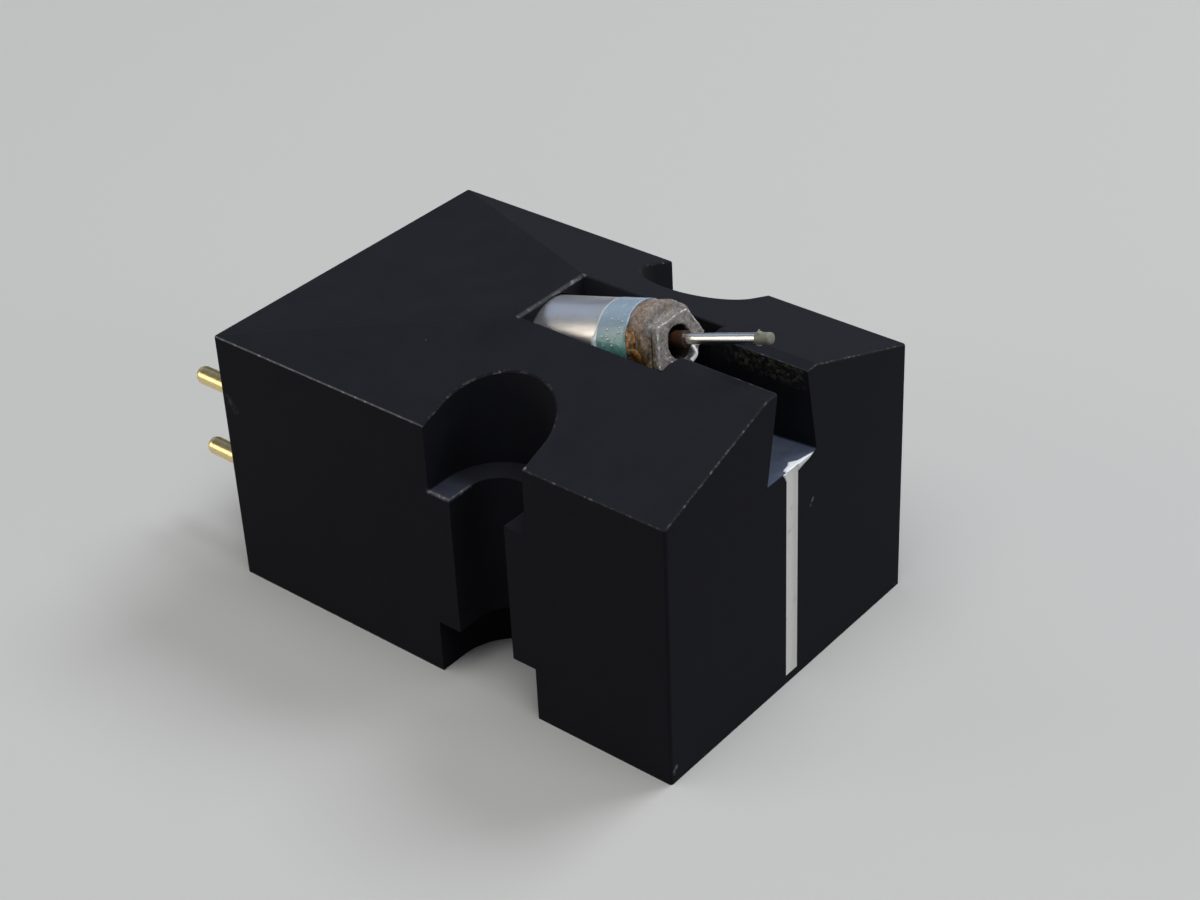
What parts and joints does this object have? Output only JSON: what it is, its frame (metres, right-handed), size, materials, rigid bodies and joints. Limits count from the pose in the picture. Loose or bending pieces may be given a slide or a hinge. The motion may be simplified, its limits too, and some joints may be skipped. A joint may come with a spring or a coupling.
{
  "type": "turntable stylus cartridge",
  "caption": "Moving-coil phono cartridge: black hipped housing with side screw slots, silvery tilted nose, sprung cantilever with diamond stylus, and gold rear terminal pins.",
  "frame": {"origin": "on the mounting face, midway between the two screw slots", "axes": "+Z from the mounting face towards the stylus, -Y to the front with the white line, +X across"},
  "size_m": [0.0152, 0.0268, 0.0153],
  "materials": {
    "housing_plastic": "fine matte moulded",
    "insulator": "matte moulded",
    "index_white": "cream paint fill",
    "pin_gold": "polished gold plate",
    "nose_metal": "satin plated",
    "seal_film": "translucent teal lacquer",
    "ring_iron": "rough, stained with glue",
    "yoke_iron": "turned soft iron",
    "magnet_grey": "sintered",
    "fine_steel": "drawn",
    "damper_rubber": "matte",
    "coil_copper": "enamelled copper windings",
    "bush_brown": "dark reddish-brown varnish",
    "cantilever_aluminium": "polished",
    "diamond": "ground",
    "lead_enamel": "enamelled wire"
  },
  "bodies": {
    "housing": {"body_shell": "housing_plastic", "mounting_plate": "housing_plastic", "terminal_block": "insulator", "index_line": "index_white", "pin_left_signal": "pin_gold", "pin_left_ground": "pin_gold", "pin_right_signal": "pin_gold", "pin_right_ground": "pin_gold", "nose_tube": "nose_metal", "seal_band": "seal_film", "pole_ring": "ring_iron", "front_yoke": "yoke_iron", "rear_yoke": "yoke_iron", "pole_piece": "yoke_iron", "magnet": "magnet_grey", "joint_pipe": "fine_steel", "set_screw": "fine_steel", "lead_left_signal": "lead_enamel", "lead_left_ground": "lead_enamel", "lead_right_signal": "lead_enamel", "lead_right_ground": "lead_enamel"},
    "suspension": {"suspension_wire": "fine_steel", "damper": "damper_rubber"},
    "moving_coil": {"armature": "yoke_iron", "coil_left": "coil_copper", "coil_right": "coil_copper", "cantilever_bush": "bush_brown", "cantilever": "cantilever_aluminium", "stylus": "diamond"}
  },
  "joints": [
    {"name": "stylus_vertical", "type": "hinge", "parent": "housing", "child": "suspension", "pos_m": [0, -0.00139, 0.01277], "axis": [1, 0, 0], "range_deg": [-3, 3], "stiffness_Nm_per_rad": 0.008},
    {"name": "stylus_lateral", "type": "hinge", "parent": "suspension", "child": "moving_coil", "pos_m": [0, -0.00139, 0.01277], "axis": [0, 0.3338, 0.9426], "range_deg": [-3, 3], "stiffness_Nm_per_rad": 0.008}
  ]
}
